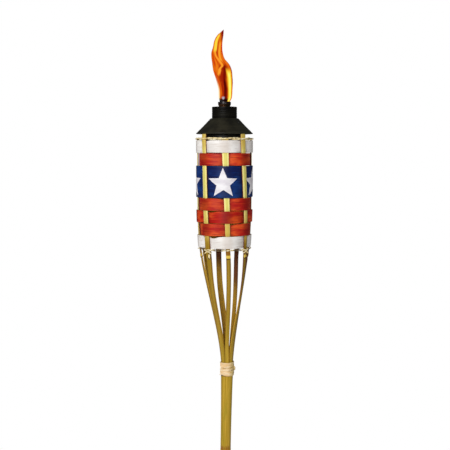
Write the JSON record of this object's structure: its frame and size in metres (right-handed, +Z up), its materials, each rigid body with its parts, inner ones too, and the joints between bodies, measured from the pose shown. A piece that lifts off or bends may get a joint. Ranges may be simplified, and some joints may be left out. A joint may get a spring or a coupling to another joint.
{
  "type": "bamboo garden torch",
  "caption": "Bamboo garden torch: a split-bamboo pole spreads into a woven basket of painted strips that holds a cone-topped fuel canister with screw cap, burner tube, wick and flame.",
  "frame": {"origin": "on the pole's axis at the ground line, 200 mm above the pole's lower tip", "axes": "+Z up along the pole, -Y the side that shows a whole star, +X to the right seen from that side"},
  "size_m": [0.1022, 0.1022, 1.5798],
  "materials": {
    "bamboo": "natural bamboo bark, satin",
    "cane": "split cane, satin",
    "white_strip": "white paint on split bamboo",
    "red_strip": "orange-red stain on split bamboo",
    "blue_strip": "navy stain on split bamboo, white stars",
    "twine": "twisted cane cord",
    "black_tin": "black enamel on tinplate",
    "gasket_rubber": "matt",
    "burner_steel": "sooted steel",
    "glass_rope": "braided glass-fibre rope, charred at the top",
    "flame": "glowing gas"
  },
  "bodies": {
    "stand": {"bamboo_pole": "bamboo", "splint_1": "bamboo", "splint_2": "bamboo", "splint_3": "bamboo", "splint_4": "bamboo", "splint_5": "bamboo", "splint_6": "bamboo", "splint_7": "bamboo", "splint_8": "bamboo", "cane_binding": "cane", "strip_white_top": "white_strip", "strip_red_upper": "red_strip", "strip_blue_star": "blue_strip", "strip_red_middle_1": "red_strip", "strip_red_middle_2": "red_strip", "strip_red_lower": "red_strip", "strip_white_bottom": "white_strip", "rim_lashing": "twine", "foot_lashing": "twine"},
    "canister": {"can_base": "black_tin", "can_wall": "black_tin", "cone_top": "black_tin"},
    "gasket": {"cap_gasket": "gasket_rubber"},
    "cap": {"screw_cap": "black_tin", "burner_tube": "burner_steel"},
    "wick": {"wick": "glass_rope", "flame": "flame"}
  },
  "joints": [
    {"name": "canister_lift", "type": "slide", "parent": "stand", "child": "canister", "axis": [0, 0, 1], "range_m": [0, 0.125]},
    {"name": "cap_lift", "type": "slide", "parent": "canister", "child": "gasket", "axis": [0, 0, 1], "range_m": [0, 0.006]},
    {"name": "cap_turn", "type": "hinge", "parent": "gasket", "child": "cap", "pos_m": [-0.0045, 0, 1.24], "axis": [0, 0, 1], "range_deg": [0, 540]},
    {"name": "wick_feed", "type": "slide", "parent": "cap", "child": "wick", "axis": [0, 0, 1], "range_m": [0, 0.02]}
  ],
  "couplings": [
    {"joint": "cap_lift", "follows": "cap_turn", "m_per_rad": 0.00063662}
  ]
}
